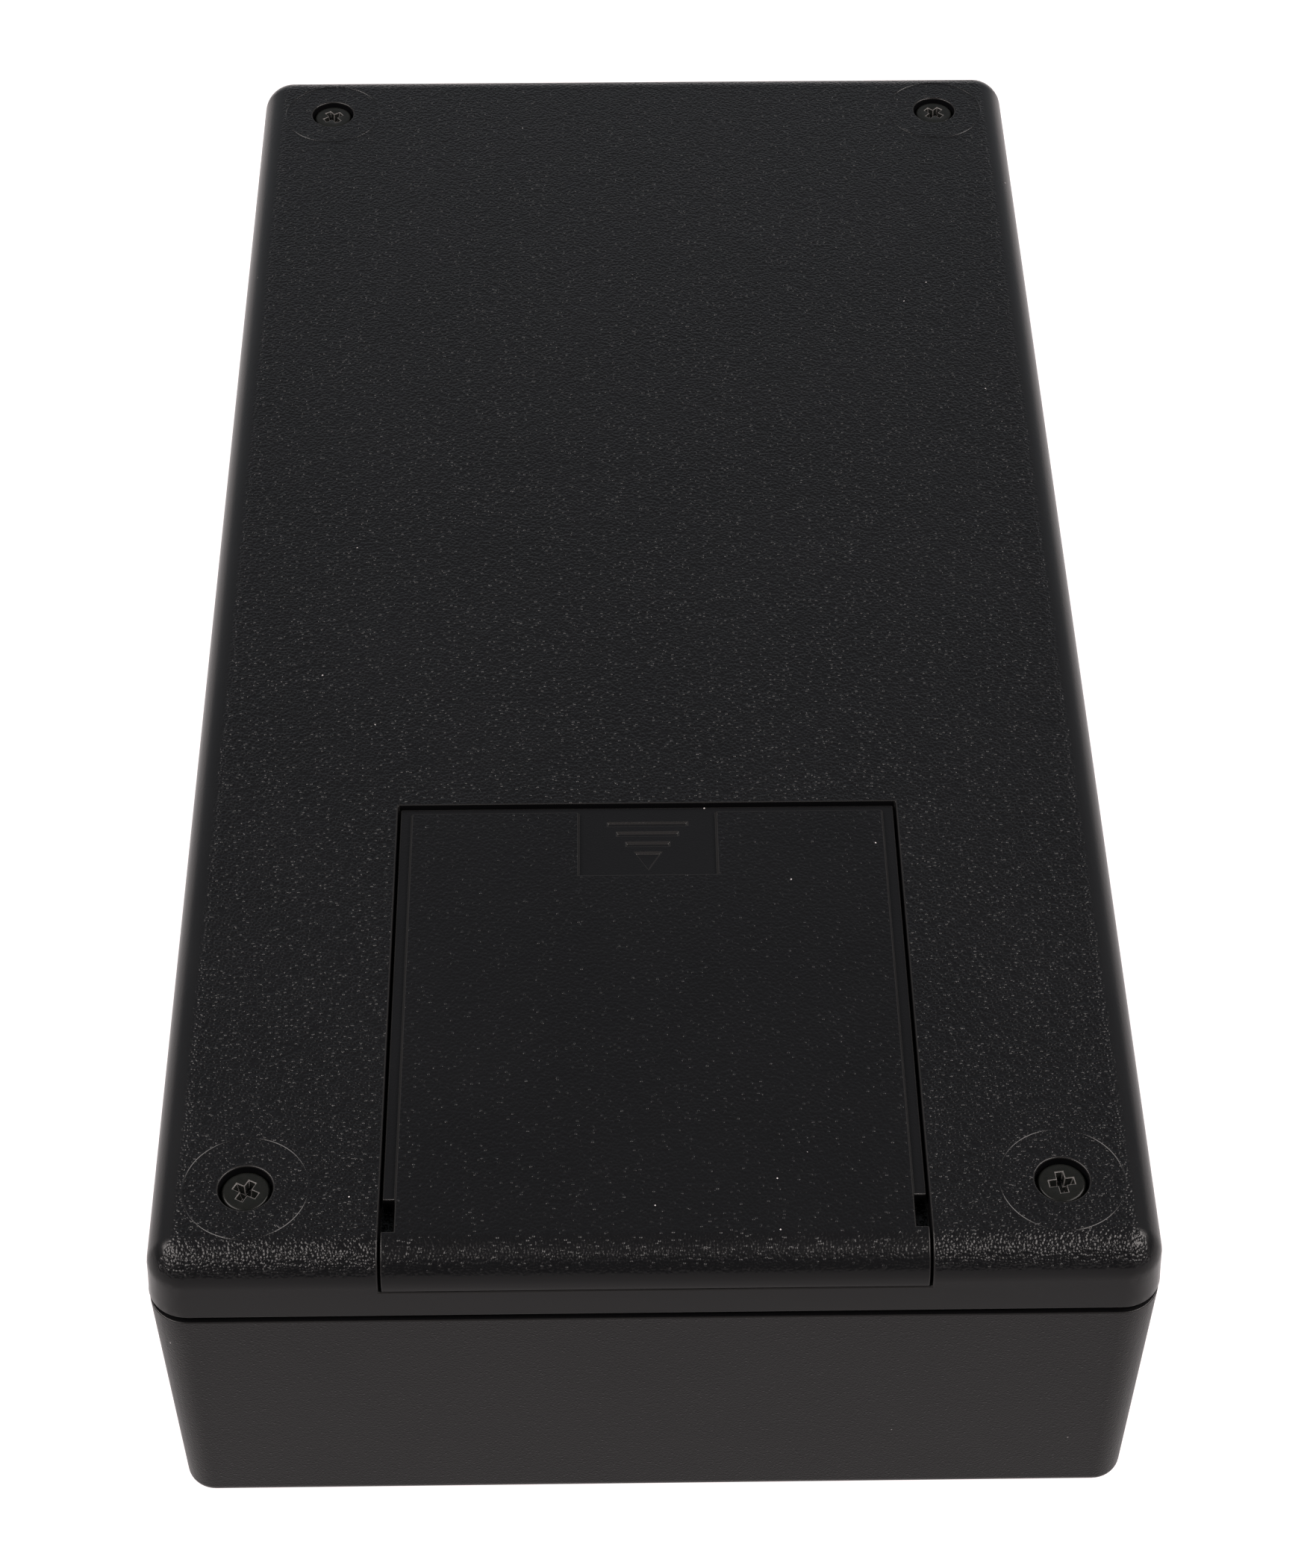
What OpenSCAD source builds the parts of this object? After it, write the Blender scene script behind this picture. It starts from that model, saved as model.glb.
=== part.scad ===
// Handheld enclosure with a battery bay: a deep body shell, a shallow back cover held by four
// screws, and a sliding battery door over a bay for four cylindrical cells.
// It lies with the battery side up. -Y is the end where the door comes off.

/* [Housing] */
// Width at the parting line
housing_w = 110.2; // [90:0.1:140]
// Length at the parting line
housing_l = 220; // [180:1:280]
// Height of the closed housing
housing_h = 44.7; // [42:0.1:60]
// Height of the body shell up to its rim
rim_h = 34.9; // [30:0.1:36]
// Open line between body shell and cover
reveal = 1; // [0.4:0.1:1.5]
// How far the cover stands out past the body's rim
rim_step = 0.05; // [0:0.05:0.6]
// Wall thickness of both shells
wall = 2.5; // [2:0.1:3.2]
// Radius of the upright outer corners
corner_r = 4.55; // [4.5:0.05:8]
// Radius of the upright inner corners
inner_corner_r = 3; // [2.6:0.1:5]
// Radius of the cover's upper edge
cover_edge_r = 4.2; // [3.2:0.1:4.2]
// Radius of the body's lower edge
base_edge_r = 1.5; // [0.5:0.1:2.5]
// Radius between the body's floor and its walls
floor_edge_r = 1; // [0.4:0.1:1.4]
// Draft angle of the body's walls
body_draft = 1.9; // [0.5:0.1:2.2]
// Draft angle of the cover's walls
cover_draft = 3.4; // [0.5:0.1:3.6]
// Height of the body's tongue inside the cover's groove
tongue_h = 1.6; // [1:0.1:2.2]
// Free space between tongue and groove
tongue_clearance = 0.2; // [0.1:0.05:0.4]

/* [Screws] */
// Distance of each screw axis from the housing's sides and ends
screw_inset = 10.8; // [9.5:0.1:14]
// Diameter of the screw recesses in the cover
recess_d = 6; // [5.8:0.1:7]
// Diameter of the pan head
head_d = 5.4; // [4.6:0.1:5.6]
// Height of the pan head
head_h = 2.2; // [1.6:0.1:2.6]
// Rise of the head's crown above its edge
crown_h = 0.5; // [0.2:0.05:0.8]
// Depth of the head's crown below the cover
head_sink = 0.5; // [0.2:0.1:1.2]
// Diameter of the screw's shank
shank_d = 2.4; // [2:0.1:2.8]
// Length of the screw under its head
shank_l = 16; // [10:0.5:22]
// Free space around the shank in the body's bosses
pilot_clearance = 0.1; // [0.05:0.05:0.3]
// Free space around the shank in the cover
shank_clearance = 0.8; // [0.4:0.1:1.2]
// Span of the cross recess
cross_span = 2.9; // [2.2:0.1:3.4]
// Width of the cross recess's slots
cross_w = 0.7; // [0.4:0.05:0.9]
// Depth of the cross recess
cross_depth = 1.2; // [0.6:0.1:1.5]
// Diameter of the body's screw bosses
boss_d = 8; // [6:0.5:9]
// Diameter of the cover's screw towers
tower_d = 9; // [8:0.5:10]
// Height of the bosses above the body's rim
boss_rise = 1.3; // [0.5:0.1:2]
// Thickness of the ribs that tie the bosses to the walls
rib_t = 1.6; // [1:0.1:2.4]
// Distance of the ribs' top below the rim
rib_drop = 3; // [1:0.5:8]

/* [Board posts] */
// Distance between the posts across the housing
post_span_x = 80; // [50:1:84]
// Distance between the posts along the housing
post_span_y = 150; // [80:1:170]
// Diameter of the posts
post_d = 6; // [5:0.5:8]
// Height of the posts above the floor
post_h = 5; // [3:0.5:10]
// Diameter of the posts' screw holes
post_hole_d = 2.2; // [1.6:0.1:3]
// Depth of the posts' screw holes
post_hole_depth = 4.5; // [2:0.5:5]

/* [Battery bay] */
// Diameter of one cell
cell_d = 14.5; // [13.5:0.1:14.6]
// Length of one cell
cell_l = 50.5; // [44:0.5:52]
// Side room that each cell gets in the bay
cell_room = 0.375; // [0.2:0.025:0.6]
// Free space over the cells, below the door's sill
cell_headroom = 0.6; // [0.3:0.1:1.5]
// Room for contact button and pressed spring at a cell's ends
contact_room = 5.5; // [4.5:0.1:7]
// Thickness of the bay's walls
bay_wall = 1.8; // [1.4:0.1:2.2]
// Thickness of the bay's floor under the cells
bay_floor = 1.7; // [1.2:0.1:2.4]
// Free space between the bay and the body shell
bay_clearance = 0.6; // [0.4:0.1:1.5]
// Height of the cradle's ridges above the cells' lowest line
cradle_h = 2.7; // [1.5:0.1:4]
// Gap between a cell and its cradle
cradle_gap = 0.15; // [0.05:0.05:0.4]
// Length of the latch space behind the rear bulkhead
latch_room = 4; // [3.6:0.1:6]

/* [Contacts] */
// Thickness of the contact plates
plate_t = 0.4; // [0.2:0.05:0.6]
// Height of the contact plates
plate_h = 10.9; // [8:0.1:11]
// Distance of a plate's edges from the line between two cells
plate_gap = 0.6; // [0.5:0.05:1]
// Diameter of the contact button at its foot
button_d = 6.4; // [5:0.1:8]
// Height of the contact button
button_h = 1.2; // [0.8:0.1:1.8]
// Thickness of the ribs that part the plates
slot_rib_t = 0.9; // [0.6:0.05:0.9]
// How far a slot's lip reaches over a plate
slot_lip = 1; // [0.6:0.1:1.5]
// Free space of a plate in its slot
slot_clearance = 0.1; // [0.05:0.05:0.2]
// Height of the slots' lips above the cradle
slot_h = 9; // [6:0.5:10]
// Width of the solder tabs
tab_w = 3; // [2:0.1:4]
// Distance of the solder tabs below the plates' upper edge
tab_drop = 1.2; // [0.6:0.1:1.3]
// Length of the solder tabs behind the bulkhead
tab_l = 4; // [2:0.5:6]
// Wire diameter of the springs
wire_d = 0.8; // [0.5:0.05:0.9]
// Diameter of a spring's widest turn, over its wire
spring_d = 9.6; // [8:0.1:11]
// Diameter of a spring's last turn, over its wire
spring_tip_d = 5.6; // [4.5:0.1:7]
// Free length of a spring
spring_l = 7.2; // [6:0.1:9]
// Turns of a spring
spring_turns = 4.5; // [3.5:0.5:5]

/* [Battery door] */
// Gap between the door's sides and the opening
door_gap = 0.3; // [0.2:0.05:0.8]
// Gap between the door's rear edge and the opening
rear_gap = 0.25; // [0.15:0.05:0.8]
// Gap between the front lip and the sill
sill_gap = 0.12; // [0.05:0.01:0.3]
// Depth of the sill below the housing's top
sill_depth = 4.9; // [4.5:0.1:5.5]
// Thickness of the door below its side bands
door_t = 1.7; // [1.2:0.1:1.7]
// Depth of the side bands below the raised panel
band_drop = 0.5; // [0.3:0.05:0.8]
// Width of the side bands
band_w = 1.4; // [1.4:0.05:2.5]
// Width of the band along the door's rear edge
rear_band_w = 1.1; // [0.4:0.05:2]
// Length of the notches in the side bands
notch_l = 4.6; // [4:0.1:6]
// Length of the front lip, from the housing's end
lip_l = 4.75; // [4.6:0.05:6]
// Thickness of the front lip's wall
lip_t = 2; // [1.4:0.1:2.4]
// Width of the finger pad
pad_w = 16.4; // [12:0.2:24]
// Length of the finger pad from the door's rear edge
pad_l = 11.3; // [10.5:0.1:16]
// Depth of the moulded push arrow
arrow_depth = 0.25; // [0.1:0.05:0.5]
// Thickness of the arrow's bars
bar_t = 0.55; // [0.3:0.05:0.9]
// Half length of the arrow's longest bar
bar_half_l = 4.7; // [3:0.1:6]
// Distance from bar to bar
bar_pitch = 1.66; // [1.2:0.02:1.9]
// How much shorter each bar is at either end
bar_taper = 1.08; // [0.4:0.02:1.4]
// Distance of the first bar from the door's rear edge
bar_start = 2.65; // [2:0.05:4]
// Length of the arrow's head
arrow_l = 2.7; // [1.5:0.1:3]
// Half width of the arrow's head
arrow_half_w = 1.5; // [1:0.1:3]

/* [Door rails] */
// How far the rails stand out from the bay's sides
rail_w = 1.6; // [1:0.1:1.6]
// Thickness of the rails
rail_t = 0.95; // [0.6:0.05:1]
// Length of the rails
rail_l = 9; // [6:0.5:40]
// Free space above and below the rails, and around the rear tongue
slide_clearance = 0.2; // [0.15:0.05:0.25]
// Thickness of the door's webs beside the rails
web_t = 1.4; // [1:0.1:2]
// Length of the door's webs
web_l = 52; // [20:1:56]
// Width of the rear tongue
tongue_w = 16; // [8:0.5:30]
// Thickness of the rear tongue
tongue_t = 1.1; // [0.8:0.1:1.2]
// How far the rear tongue reaches under the cover
tongue_reach = 1.2; // [0.6:0.1:1.6]

/* [Hidden] */
$fn = 64;
cut = 1; // overshoot of cutting shapes
least_flat = 0.05; // least flat between a corner's axis and its rounded edge
shell_colour = [0.07, 0.07, 0.075];
door_colour = [0.09, 0.09, 0.095];
screw_colour = [0.16, 0.14, 0.13];
contact_colour = [0.75, 0.75, 0.72];

body_slope = tan(body_draft);
cover_slope = tan(cover_draft);
cover_z = rim_h + reveal;
skin_z = housing_h - wall;
rim_w = housing_w - 2 * rim_step;
rim_l = housing_l - 2 * rim_step;
front_y = -housing_l / 2;

screw_x = housing_w / 2 - screw_inset;
screw_y = housing_l / 2 - screw_inset;
screw_places = [[-1, -1], [1, -1], [-1, 1], [1, 1]];
screw_turns = [62, 8, 35, 50];
seat_z = housing_h - head_sink - head_h;
boss_z = rim_h + boss_rise;
post_z = wall + post_h;
foot_z = wall / 2; // bosses, ribs and posts start inside the floor

sill_z = housing_h - sill_depth;
cell_count = 4;
cell_pitch = cell_d + cell_room;
bay_w = cell_count * cell_pitch;
cell_z = sill_z - cell_headroom - cell_d / 2;
trough_r = cell_d / 2 + cradle_gap;
bay_z = cell_z - trough_r - bay_floor;
cradle_z = cell_z - trough_r + cradle_h;
tab_z = cradle_z + plate_h - tab_drop;
bay_front_y = front_y + rim_step + wall + body_slope * (rim_h - bay_z) + bay_clearance;
front_face_y = bay_front_y + bay_wall;
rear_face_y = front_face_y + 2 * plate_t + cell_l + contact_room;
bay_rear_y = rear_face_y + bay_wall;
opening_y = bay_rear_y + latch_room;

door_w = bay_w - 2 * door_gap;
door_rear_y = opening_y - rear_gap;
band_z = housing_h - band_drop;
door_z = band_z - door_t;
panel_w = door_w - 2 * band_w;
lip_y = front_y + lip_l;
rail_z = door_z - slide_clearance - rail_t;
hook_z = sill_z + slide_clearance;
hook_t = rail_z - slide_clearance - hook_z;
web_x = bay_w / 2 - rail_w - door_gap;
tongue_z = skin_z - slide_clearance - tongue_t;

// A box between two heights and two Y places, centred across X
module bar(width, y0, y1, z0, z1) {
    translate([-width / 2, y0, z0]) cube([width, y1 - y0, z1 - z0]);
}

// A length rounded to a micron, so that arcs and straight edges end at the same point
function micron(x) = round(1000 * x) / 1000;

// Half section of a drafted wall with a rounded upper edge, from the corner's axis outwards.
// On a high wall the edge's radius is limited by what its draft leaves of the corner.
module edge_profile(r, h, slope, edge) {
    edge_r = min(edge, micron((r - least_flat - slope * h) / (1 - slope)));
    arc_z = h - edge_r;
    arc_r = micron(r - slope * arc_z - edge_r);
    polygon([[0, 0], [r, 0], [arc_r + edge_r, arc_z], [arc_r, arc_z], [arc_r, h], [0, h]]);
    translate([arc_r, arc_z]) intersection() {
        circle(edge_r);
        square(edge_r);
    }
}

// A block whose edge profile runs along the four sides and turns around the four corners
module profiled_block(w, l, h, r) {
    span_x = w - 2 * r;
    span_y = l - 2 * r;
    translate([-span_x / 2, -span_y / 2, 0]) cube([span_x, span_y, h]);
    for (turn = [0, 180]) rotate(turn) {
        translate([span_x / 2, 0, 0]) rotate([90, 0, 0]) linear_extrude(span_y, center = true)
            children();
        translate([0, span_y / 2, 0]) rotate([90, 0, 90]) linear_extrude(span_x, center = true)
            children();
        translate([span_x / 2, span_y / 2, 0]) rotate_extrude(angle = 90) children();
        translate([-span_x / 2, span_y / 2, 0]) rotate(90) rotate_extrude(angle = 90) children();
    }
}

// A moulded block that narrows upwards, with a rounded upper edge
module drafted_block(w, l, h, r, slope, edge) {
    profiled_block(w, l, h, r) edge_profile(r, h, slope, edge);
}

// A block with straight sides and rounded corners
module upright_block(w, l, h, r) {
    profiled_block(w, l, h, r) square([r, h]);
}

// Children repeated at the four screw axes
module at_screws() {
    for (place = screw_places) translate([place[0] * screw_x, place[1] * screw_y, 0]) children();
}

// Children repeated at the four board posts
module at_posts() {
    for (x = [-1, 1], y = [-1, 1]) translate([x * post_span_x / 2, y * post_span_y / 2, 0]) children();
}

// Ribs from each boss to the two walls beside it, ending inside the walls
module boss_ribs() {
    bite = wall / 4;
    wall_x = rim_w / 2 - body_slope * rim_h - bite;
    wall_y = rim_l / 2 - body_slope * rim_h - bite;
    h = rim_h - rib_drop - foot_z;
    for (x = [0, 1], y = [0, 1]) mirror([x, 0, 0]) mirror([0, y, 0]) {
        translate([screw_x, screw_y - rib_t / 2, foot_z]) cube([wall_x - screw_x, rib_t, h]);
        translate([screw_x - rib_t / 2, screw_y, foot_z]) cube([rib_t, wall_y - screw_y, h]);
    }
}

// Tray with a tongue on the inner half of its rim, drawn upside down from the rim at z = 0
module tray() {
    inset = wall / 2 + tongue_clearance / 2;
    inner_w = rim_w - 2 * wall;
    inner_l = rim_l - 2 * wall;
    stand = reveal + tongue_h;
    difference() {
        union() {
            drafted_block(rim_w, rim_l, rim_h, corner_r - rim_step, body_slope, base_edge_r);
            translate([0, 0, -stand])
                upright_block(rim_w - 2 * inset, rim_l - 2 * inset, stand, inner_corner_r);
        }
        drafted_block(inner_w, inner_l, rim_h - wall, inner_corner_r, body_slope, floor_edge_r);
        translate([0, 0, -stand - cut]) upright_block(inner_w, inner_l, stand + cut, inner_corner_r);
    }
}

// Deep lower shell with screw bosses, board posts and a tongue around its rim
module body_shell() color(shell_colour) {
    difference() {
        union() {
            translate([0, 0, rim_h]) mirror([0, 0, 1]) tray();
            at_screws() translate([0, 0, foot_z]) cylinder(d = boss_d, h = boss_z - foot_z);
            boss_ribs();
            at_posts() translate([0, 0, foot_z]) cylinder(d = post_d, h = post_z - foot_z);
        }
        at_screws() translate([0, 0, seat_z - shank_l - cut])
            cylinder(d = shank_d + pilot_clearance, h = boss_z - seat_z + shank_l + 2 * cut);
        at_posts() translate([0, 0, post_z - post_hole_depth])
            cylinder(d = post_hole_d, h = post_hole_depth + cut);
    }
}

// Drafted cover wall and top, hollow below, with a groove for the body's tongue
module cover_skin() {
    groove_inset = rim_step + wall / 2 - tongue_clearance / 2;
    translate([0, 0, cover_z]) difference() {
        drafted_block(housing_w, housing_l, housing_h - cover_z, corner_r, cover_slope, cover_edge_r);
        drafted_block(housing_w - 2 * wall, housing_l - 2 * wall, skin_z - cover_z, inner_corner_r,
            cover_slope, cover_edge_r - wall);
        translate([0, 0, -cut]) upright_block(housing_w - 2 * groove_inset, housing_l - 2 * groove_inset,
            tongue_h + tongue_clearance + cut, inner_corner_r);
    }
}

// Solid block of the bay, its latch space and the cheeks beside the door's lip
module bay_block() {
    outer_w = bay_w + 2 * bay_wall;
    skin_mid_z = skin_z + wall / 2;
    bar(outer_w, bay_front_y, bay_rear_y, bay_z, skin_mid_z);
    bar(outer_w, rear_face_y, opening_y + tongue_reach + slide_clearance + bay_wall, sill_z - bay_wall,
        skin_mid_z);
    bar(outer_w, front_y + wall, front_face_y, cover_z + tongue_h + 2 * tongue_clearance, skin_mid_z);
}

// Hollow of the bay with a trough for each cell
module bay_hollow() {
    bar(bay_w, front_face_y, rear_face_y, cradle_z, sill_z + cut);
    for (i = [0 : cell_count - 1]) translate([cell_x(i), front_face_y, cell_z]) rotate([-90, 0, 0])
        cylinder(r = trough_r, h = rear_face_y - front_face_y);
}

// Place of a cell across the bay, counted from the left
function cell_x(i) = (i - (cell_count - 1) / 2) * cell_pitch;

// Rails that hold the door's hooks down
module door_rails() {
    for (side = [0, 1]) mirror([side, 0, 0])
        translate([bay_w / 2 - rail_w, front_face_y, rail_z]) cube([rail_w + bay_wall / 2, rail_l, rail_t]);
}

// Ribs with lips that make the slots of the contact plates, at the given places across the bay
module plate_slots(places) {
    depth = plate_t + slot_clearance;
    for (x = places) translate([x, 0, cradle_z]) {
        translate([-slot_rib_t / 2, -bay_wall / 2, 0])
            cube([slot_rib_t, bay_wall / 2 + depth + slot_rib_t, slot_h]);
        translate([-plate_gap - slot_lip, depth, 0]) cube([2 * (plate_gap + slot_lip), slot_rib_t, slot_h]);
    }
}

// Shallow upper shell with screw towers and the battery bay
module back_cover() color(shell_colour) {
    side_x = bay_w / 2;
    difference() {
        union() {
            cover_skin();
            at_screws() translate([0, 0, boss_z]) cylinder(d = tower_d, h = skin_z + wall / 2 - boss_z);
            bay_block();
        }
        bar(bay_w, front_y - cut, opening_y, sill_z, housing_h + cut);
        bay_hollow();
        bar(tongue_w + 2 * slide_clearance, opening_y - cut, opening_y + tongue_reach + slide_clearance,
            tongue_z - slide_clearance, skin_z);
        at_screws() translate([0, 0, seat_z]) cylinder(d = recess_d, h = housing_h);
        at_screws() cylinder(d = shank_d + shank_clearance, h = housing_h);
        for (i = [0, cell_count - 1]) translate([cell_x(i), 0, tab_z])
            bar(tab_w + 2 * slot_clearance, rear_face_y - cut, bay_rear_y + cut,
                -plate_t / 2 - slot_clearance, plate_t / 2 + slot_clearance);
    }
    door_rails();
    intersection() {
        union() {
            translate([0, front_face_y, 0]) plate_slots([-side_x, 0, side_x]);
            translate([0, rear_face_y, 0]) rotate(180)
                plate_slots([-side_x, -cell_pitch, cell_pitch, side_x]);
        }
        bar(bay_w + bay_wall, bay_front_y, bay_rear_y, bay_z, sill_z);
    }
}

// Curved front lip of the door, cut from the cover's own edge section
module door_lip() {
    inner_r = corner_r - cover_slope * (sill_z - cover_z) - lip_t;
    translate([0, front_y + corner_r, 0]) rotate([90, 0, -90]) linear_extrude(door_w, center = true)
        difference() {
            intersection() {
                translate([0, cover_z])
                    edge_profile(corner_r, housing_h - cover_z, cover_slope, cover_edge_r);
                translate([0, sill_z + sill_gap]) square([2 * corner_r, housing_h]);
            }
            translate([-cut, 0]) square([inner_r + cut, door_z]);
        }
    bar(door_w, front_y + corner_r, lip_y, door_z, housing_h);
}

// Moulded arrow of bars and a head, pressed into the finger pad
module push_arrow() {
    head_y = door_rear_y - bar_start - 3 * bar_pitch + bar_t / 2;
    translate([0, 0, band_z - arrow_depth]) {
        for (i = [0 : 2]) translate([0, door_rear_y - bar_start - i * bar_pitch, 0])
            bar(2 * (bar_half_l - i * bar_taper), -bar_t / 2, bar_t / 2, 0, housing_h);
        linear_extrude(housing_h)
            polygon([[-arrow_half_w, head_y], [arrow_half_w, head_y], [0, head_y - arrow_l]]);
    }
}

// Battery door: plate, raised panel, front lip, hooks under the rails and a tongue under the cover
module battery_door() color(door_colour) {
    web_y = lip_y + rail_w / 2;
    difference() {
        union() {
            bar(door_w, lip_y, door_rear_y, door_z, band_z);
            bar(panel_w, lip_y, door_rear_y - rear_band_w, door_z, housing_h);
            door_lip();
            for (side = [0, 1]) mirror([side, 0, 0]) {
                translate([web_x - web_t, web_y, hook_z]) {
                    cube([web_t, web_l, door_z - hook_z + door_t / 2]);
                    cube([web_t + rail_w, notch_l - rail_w / 2, hook_t]);
                }
            }
            bar(tongue_w, bay_rear_y + slide_clearance, door_rear_y, tongue_z, door_z + door_t / 2);
            bar(tongue_w, door_rear_y - door_t, opening_y + tongue_reach, tongue_z, tongue_z + tongue_t);
        }
        bar(pad_w, door_rear_y - pad_l, door_rear_y + cut, band_z, housing_h + cut);
        for (side = [0, 1]) mirror([side, 0, 0])
            translate([panel_w / 2, lip_y, door_z - cut / 4]) cube([band_w + cut, notch_l, housing_h]);
        push_arrow();
    }
}

// Four pan-head screws with cross recesses, each turned as it was left
module cover_screws() color(screw_colour) {
    edge_r = head_d / 2;
    crown_r = (edge_r * edge_r + crown_h * crown_h) / (2 * crown_h);
    for (i = [0 : 3]) translate([screw_places[i][0] * screw_x, screw_places[i][1] * screw_y, seat_z]) {
        difference() {
            rotate_extrude() intersection() {
                square([edge_r, head_h]);
                translate([0, head_h - crown_r]) circle(crown_r);
            }
            for (turn = [0, 90]) rotate(screw_turns[i] + turn)
                bar(cross_span, -cross_w / 2, cross_w / 2, head_h - cross_depth, 2 * head_h);
        }
        translate([0, 0, -shank_l]) cylinder(d = shank_d, h = shank_l + head_h - crown_h - cross_depth);
    }
}

// Contact plate standing on the cradle over the cells from first to last, its face towards +Y.
// The cells in buttons get a pressed button, and those in tabs a solder tab.
module contact_plate(first, last, buttons, tabs) color(contact_colour) {
    x0 = cell_x(first) - cell_pitch / 2 + plate_gap;
    x1 = cell_x(last) + cell_pitch / 2 - plate_gap;
    difference() {
        union() {
            translate([x0, 0, cradle_z]) cube([x1 - x0, plate_t, plate_h]);
            for (i = buttons) button(cell_x(i), 0);
        }
        for (i = buttons) button(cell_x(i), -plate_t);
    }
    for (i = tabs) translate([cell_x(i) - tab_w / 2, -bay_wall - tab_l, tab_z - plate_t / 2])
        cube([tab_w, bay_wall + tab_l + plate_t / 2, plate_t]);
}

// Tapered contact button at a cell's centre, shifted along Y
module button(x, shift) {
    translate([x, shift, cell_z]) rotate([-90, 0, 0])
        cylinder(d1 = button_d + 2 * plate_t, d2 = button_d / 2 + plate_t, h = button_h + plate_t);
}

// Puts a contact that faces +Y on the front bulkhead, or turned round on the rear one
module on_front() {
    translate([0, front_face_y, 0]) children();
}

module on_rear() {
    translate([0, rear_face_y, 0]) rotate(180) children();
}

module positive_terminal() {
    on_rear() contact_plate(3, 3, [3], [3]);
}

module negative_terminal() {
    on_rear() contact_plate(0, 0, [], [0]);
}

module rear_link() {
    on_rear() contact_plate(1, 2, [1], []);
}

module front_link_left() {
    on_front() contact_plate(0, 1, [1], []);
}

module front_link_right() {
    on_front() contact_plate(2, 3, [3], []);
}

// Conical coil spring standing on z = 0, swept along a narrowing helix
module coil_spring() {
    sides = 8;
    steps = 16;
    rings = round(spring_turns * steps);
    flat_turns = 0.4;
    rise = spring_l - wire_d;
    ring_points = [
        for (i = [0 : rings], s = [0 : sides - 1])
            let (
                turn = i / steps,
                share = i / rings,
                r = (spring_d * (1 - share) + spring_tip_d * share - wire_d) / 2,
                z = wire_d / 2 + rise * max(0, turn - flat_turns) / (spring_turns - flat_turns),
                a = 360 * turn,
                out = r + wire_d / 2 * cos(360 * s / sides)
            )
            [out * cos(a), out * sin(a), z + wire_d / 2 * sin(360 * s / sides)]
    ];
    skin_faces = [
        for (i = [0 : rings - 1], s = [0 : sides - 1])
            let (a = i * sides + s, b = i * sides + (s + 1) % sides)
            [a, b, b + sides, a + sides]
    ];
    first_cap = [for (s = [sides - 1 : -1 : 0]) s];
    last_cap = [for (s = [0 : sides - 1]) rings * sides + s];
    color(contact_colour) polyhedron(ring_points, concat([first_cap, last_cap], skin_faces));
}

// Spring of one cell, seated on its contact plate
module cell_spring(i) {
    translate([cell_x(i), plate_t, cell_z]) rotate([-90, 0, 0]) coil_spring();
}

body_shell();
back_cover();
battery_door();
cover_screws();
positive_terminal();
negative_terminal();
rear_link();
front_link_left();
front_link_right();
on_front() cell_spring(0);  // spring_1
on_rear() cell_spring(2);  // spring_2
on_front() cell_spring(2);  // spring_3
on_rear() cell_spring(0);  // spring_4
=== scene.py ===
import math

import bmesh
import bpy
from mathutils import Matrix, Quaternion, Vector


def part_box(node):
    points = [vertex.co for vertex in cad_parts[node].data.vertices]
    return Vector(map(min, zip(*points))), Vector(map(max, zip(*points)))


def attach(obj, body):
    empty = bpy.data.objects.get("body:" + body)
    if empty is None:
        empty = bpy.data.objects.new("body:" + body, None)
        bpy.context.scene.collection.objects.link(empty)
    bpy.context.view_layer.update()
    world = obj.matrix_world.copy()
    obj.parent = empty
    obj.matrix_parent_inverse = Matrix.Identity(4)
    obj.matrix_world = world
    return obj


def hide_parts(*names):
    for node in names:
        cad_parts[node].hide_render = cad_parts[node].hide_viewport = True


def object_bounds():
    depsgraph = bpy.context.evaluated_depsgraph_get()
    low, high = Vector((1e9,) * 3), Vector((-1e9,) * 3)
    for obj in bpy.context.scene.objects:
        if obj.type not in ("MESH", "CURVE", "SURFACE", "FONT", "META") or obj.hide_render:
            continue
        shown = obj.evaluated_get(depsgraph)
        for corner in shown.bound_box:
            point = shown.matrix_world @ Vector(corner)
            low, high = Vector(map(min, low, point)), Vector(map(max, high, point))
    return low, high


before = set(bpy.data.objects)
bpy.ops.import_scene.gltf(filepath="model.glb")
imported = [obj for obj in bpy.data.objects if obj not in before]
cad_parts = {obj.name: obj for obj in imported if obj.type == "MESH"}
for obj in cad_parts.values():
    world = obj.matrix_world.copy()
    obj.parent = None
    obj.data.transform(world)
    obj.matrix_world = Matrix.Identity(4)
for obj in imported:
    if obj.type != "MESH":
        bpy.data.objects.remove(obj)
cad_box = [list(corner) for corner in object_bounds()]

# Body shell
# The deep lower half is one black ABS moulding with drafted walls and a tongue around its rim.
# Its mould was spark-eroded finely, so the walls have an even, silky grain.

MM = 0.001
BLACK_PLASTIC = (0.0014, 0.0014, 0.0016)
# Paler plastic for the rounded edges: a painted edge highlight, not wear.
EDGE_HIGHLIGHT_TINT = (0.0050, 0.0048, 0.0048)
DUST = (0.18, 0.17, 0.17)
WELD = 0.001 * MM
FLAT_ANGLE = math.radians(0.2)
SHARP_ANGLE = math.radians(40)
shell_edge_r = 0.15 * MM


def add_node(tree, kind, sockets=None, **settings):
    """Adds a node, sets its properties, and fills or links its input sockets by name or number."""
    made = tree.nodes.new(kind)
    for name, value in settings.items():
        setattr(made, name, value)
    for socket, value in (sockets or {}).items():
        if isinstance(value, bpy.types.NodeSocket):
            tree.links.new(value, made.inputs[socket])
        else:
            made.inputs[socket].default_value = value
    return made


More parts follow.
